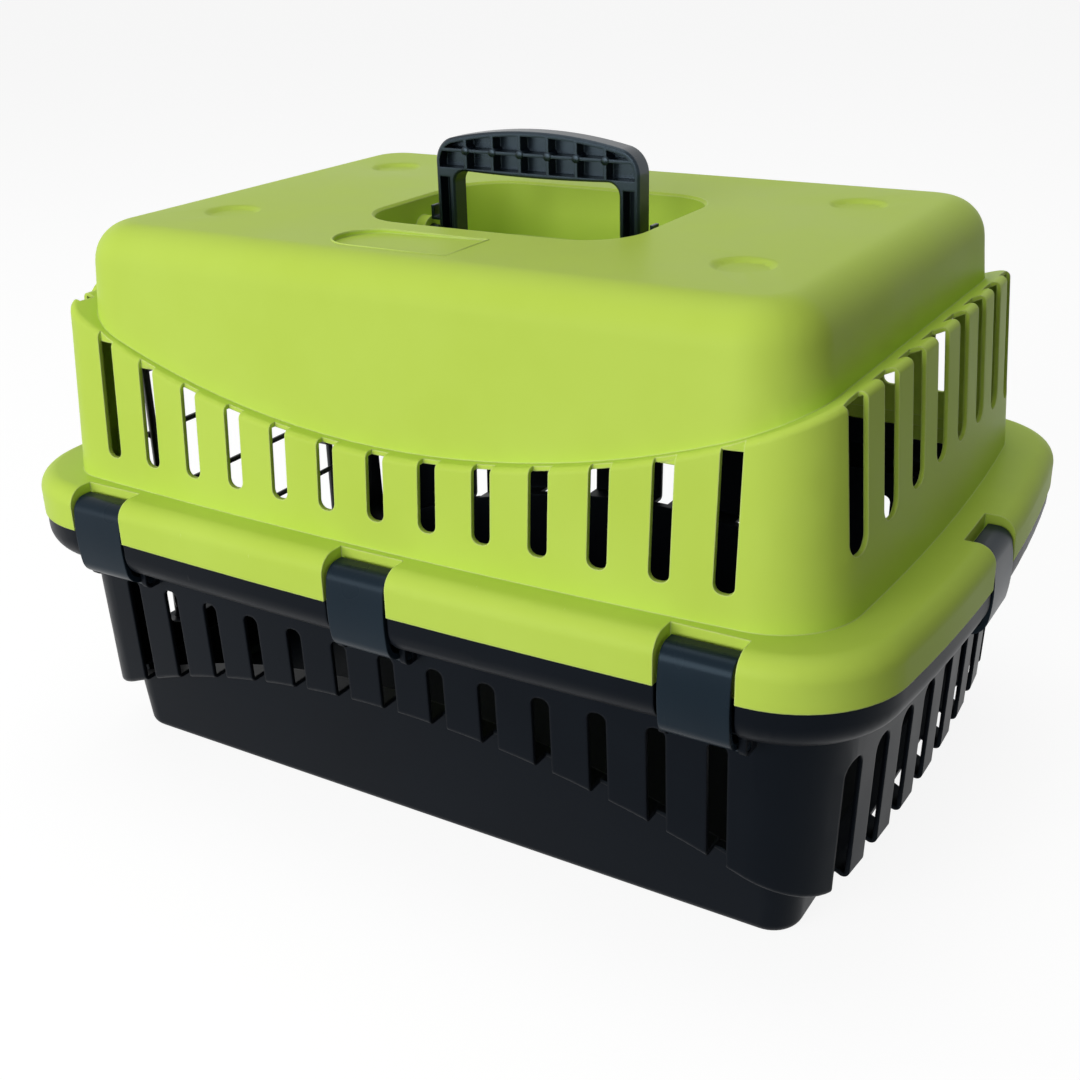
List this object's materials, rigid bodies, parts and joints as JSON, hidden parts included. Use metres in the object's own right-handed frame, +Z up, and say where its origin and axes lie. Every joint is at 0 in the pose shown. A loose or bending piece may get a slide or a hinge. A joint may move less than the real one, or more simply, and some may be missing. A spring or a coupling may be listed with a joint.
{
  "type": "pet carrier",
  "caption": "Two-shell moulded pet carrier with slotted sides, rim clips, a ribbed folding carry handle and a wire door on one end.",
  "frame": {"origin": "on the floor midway between the two ends and the two long sides", "axes": "+Z up, +X along the length away from the wire door, -Y the long side that carries the pocketed face of the handle grip"},
  "size_m": [0.4548, 0.32, 0.306],
  "materials": {
    "lime_polypropylene": "satin injection moulded polypropylene, lime green",
    "black_polypropylene": "satin injection moulded polypropylene, blue-black",
    "coated_wire": "black powder coated steel wire"
  },
  "bodies": {
    "shells": {"top_shell": "lime_polypropylene", "bottom_shell": "black_polypropylene"},
    "handle": {"handle": "black_polypropylene"},
    "front_clip_left": {"front_clip_left": "black_polypropylene"},
    "front_clip_middle": {"front_clip_middle": "black_polypropylene"},
    "front_clip_right": {"front_clip_right": "black_polypropylene"},
    "back_clip_left": {"back_clip_left": "black_polypropylene"},
    "back_clip_middle": {"back_clip_middle": "black_polypropylene"},
    "back_clip_right": {"back_clip_right": "black_polypropylene"},
    "end_clip": {"end_clip": "black_polypropylene"},
    "door": {"door_frame": "coated_wire", "door_cross_wire_1": "coated_wire", "door_cross_wire_2": "coated_wire", "door_cross_wire_3": "coated_wire", "door_cross_wire_4": "coated_wire", "door_upright_wire": "coated_wire", "hinge_rod": "coated_wire", "latch_housing": "black_polypropylene"},
    "latch_bolt_upper": {"latch_bolt_upper": "black_polypropylene"},
    "latch_bolt_lower": {"latch_bolt_lower": "black_polypropylene"}
  },
  "joints": [
    {"name": "handle_fold", "type": "hinge", "parent": "shells", "child": "handle", "pos_m": [0, 0, 0.254], "axis": [1, 0, 0], "range_deg": [-88, 88]},
    {"name": "front_left_clip_swing", "type": "hinge", "parent": "shells", "child": "front_clip_left", "pos_m": [-0.156, -0.14453, 0.107], "axis": [1, 0, 0], "range_deg": [0, 110]},
    {"name": "front_middle_clip_swing", "type": "hinge", "parent": "shells", "child": "front_clip_middle", "pos_m": [0, -0.1476, 0.107], "axis": [1, 0, 0], "range_deg": [0, 110]},
    {"name": "front_right_clip_swing", "type": "hinge", "parent": "shells", "child": "front_clip_right", "pos_m": [0.156, -0.14453, 0.107], "axis": [1, 0, 0], "range_deg": [0, 110]},
    {"name": "back_left_clip_swing", "type": "hinge", "parent": "shells", "child": "back_clip_left", "pos_m": [-0.156, 0.14453, 0.107], "axis": [-1, 0, 0], "range_deg": [0, 110]},
    {"name": "back_middle_clip_swing", "type": "hinge", "parent": "shells", "child": "back_clip_middle", "pos_m": [0, 0.1476, 0.107], "axis": [-1, 0, 0], "range_deg": [0, 110]},
    {"name": "back_right_clip_swing", "type": "hinge", "parent": "shells", "child": "back_clip_right", "pos_m": [0.156, 0.14453, 0.107], "axis": [-1, 0, 0], "range_deg": [0, 110]},
    {"name": "end_clip_swing", "type": "hinge", "parent": "shells", "child": "end_clip", "pos_m": [0.2176, 0, 0.107], "axis": [0, 1, 0], "range_deg": [0, 110]},
    {"name": "door_swing", "type": "hinge", "parent": "shells", "child": "door", "pos_m": [-0.1985, -0.074, 0.132], "axis": [0, 0, 1], "range_deg": [0, 125]},
    {"name": "upper_bolt_slide", "type": "slide", "parent": "door", "child": "latch_bolt_upper", "axis": [0, 0, 1], "range_m": [0, 0.014]},
    {"name": "lower_bolt_slide", "type": "slide", "parent": "door", "child": "latch_bolt_lower", "axis": [0, 0, -1], "range_m": [0, 0.014]}
  ]
}
